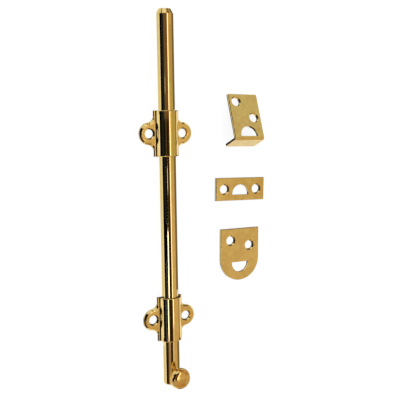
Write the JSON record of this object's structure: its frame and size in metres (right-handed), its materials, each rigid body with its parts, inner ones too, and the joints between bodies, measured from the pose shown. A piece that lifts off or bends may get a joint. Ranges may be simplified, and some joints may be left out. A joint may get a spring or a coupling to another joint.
{
  "type": "surface bolt",
  "caption": "Half-round surface bolt: a D-section rod with a domed thumb knob slides in screw-on guides and locks in an angle, flat or round-ended strike plate.",
  "frame": {"origin": "midway between the upper guide's screw holes, on the face of the door", "axes": "+Y along the rod towards its locking end, +Z out of the door, +X across the rod towards the strikes"},
  "size_m": [0.1167, 0.3048, 0.0238],
  "materials": {
    "rod_brass": "polished and lacquered",
    "guide_brass": "cast, buffed and lacquered",
    "strike_brass": "rolled sheet, polished and lacquered",
    "turned_brass": "turned and polished",
    "spring_bronze": "rolled phosphor bronze strip"
  },
  "bodies": {
    "guides": {"upper_guide": "guide_brass", "lower_guide": "guide_brass", "upper_spring": "spring_bronze", "lower_spring": "spring_bronze", "angle_strike": "strike_brass", "flat_strike": "strike_brass", "round_strike": "strike_brass"},
    "bolt": {"bolt_rod": "rod_brass", "knob": "turned_brass", "knob_screw": "turned_brass", "stop_pin": "turned_brass"}
  },
  "joints": [
    {"name": "bolt_slide", "type": "slide", "parent": "guides", "child": "bolt", "axis": [0, 1, 0], "range_m": [0, 0.025]}
  ]
}
